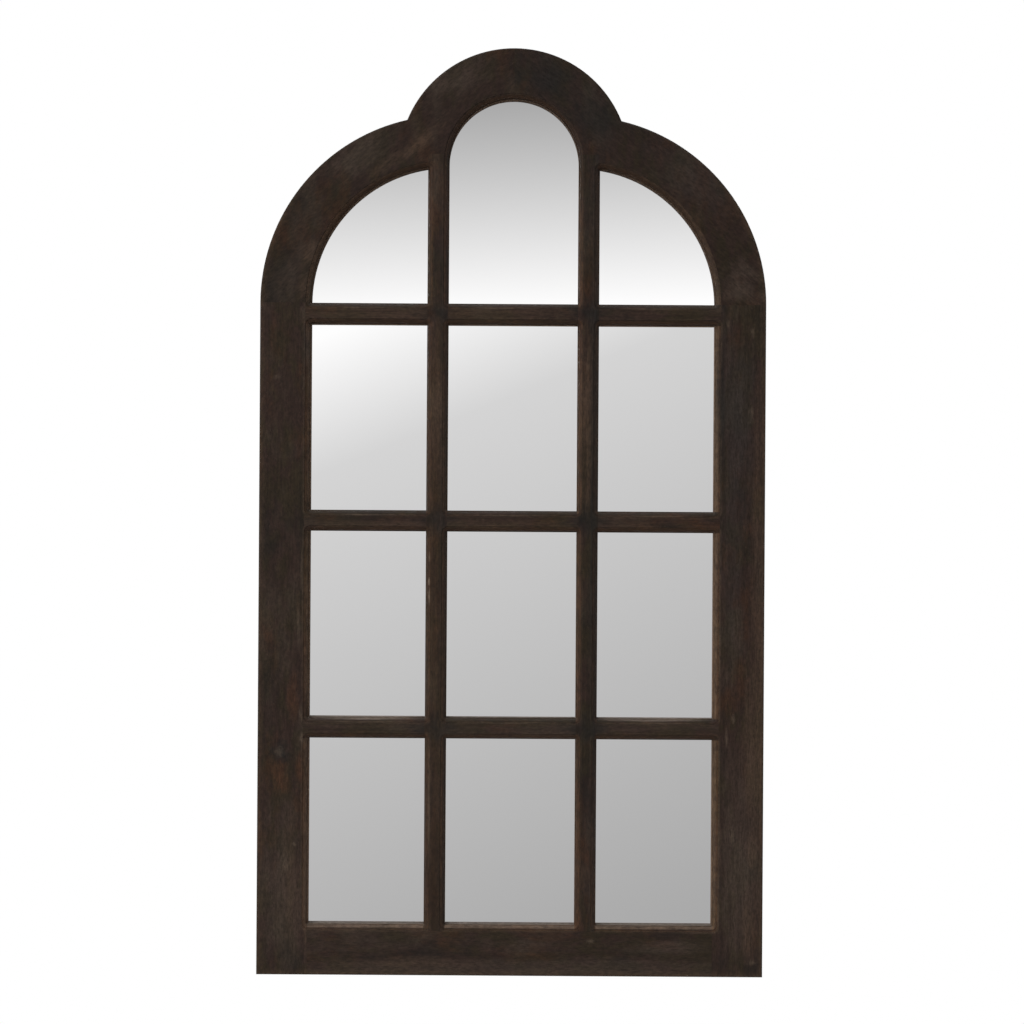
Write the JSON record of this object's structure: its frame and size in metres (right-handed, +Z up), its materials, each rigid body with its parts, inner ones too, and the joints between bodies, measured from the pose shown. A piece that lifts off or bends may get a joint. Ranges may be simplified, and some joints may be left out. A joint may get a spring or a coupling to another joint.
{
  "type": "arched wall mirror",
  "caption": "Arched wall mirror in a dark stained wooden frame made like a window, with a trefoil head, moulded glazing bars over mirror plates, and keyhole hangers at the back.",
  "frame": {"origin": "midway between the entry holes of the two keyhole hangers, on the plane of the wall", "axes": "+X to the right as seen from the front, +Y from the face of the mirror towards the wall, +Z up"},
  "size_m": [0.6, 0.028, 1.1],
  "materials": {
    "stained_wood": "hardwood, dark chocolate stain rubbed through on the mouldings, thin satin lacquer",
    "silvered_glass": "float glass silvered on the back, cut edges",
    "plywood": "plain sanded plywood, unstained",
    "beech": "plain turned beech",
    "zinc_steel": "bright zinc plated steel"
  },
  "bodies": {
    "root": {"left_stile": "stained_wood", "right_stile": "stained_wood", "bottom_rail": "stained_wood", "left_arch": "stained_wood", "right_arch": "stained_wood", "left_upright": "stained_wood", "right_upright": "stained_wood", "lower_crossbar": "stained_wood", "middle_crossbar": "stained_wood", "top_crossbar": "stained_wood", "rail_dowels": "beech", "stile_dowels": "beech", "crown_dowels": "beech", "lower_mirror": "silvered_glass", "upper_mirror": "silvered_glass", "back_board": "plywood", "board_screws": "zinc_steel", "hanger_screws": "zinc_steel", "left_hanger": "zinc_steel", "right_hanger": "zinc_steel"}
  },
  "joints": []
}
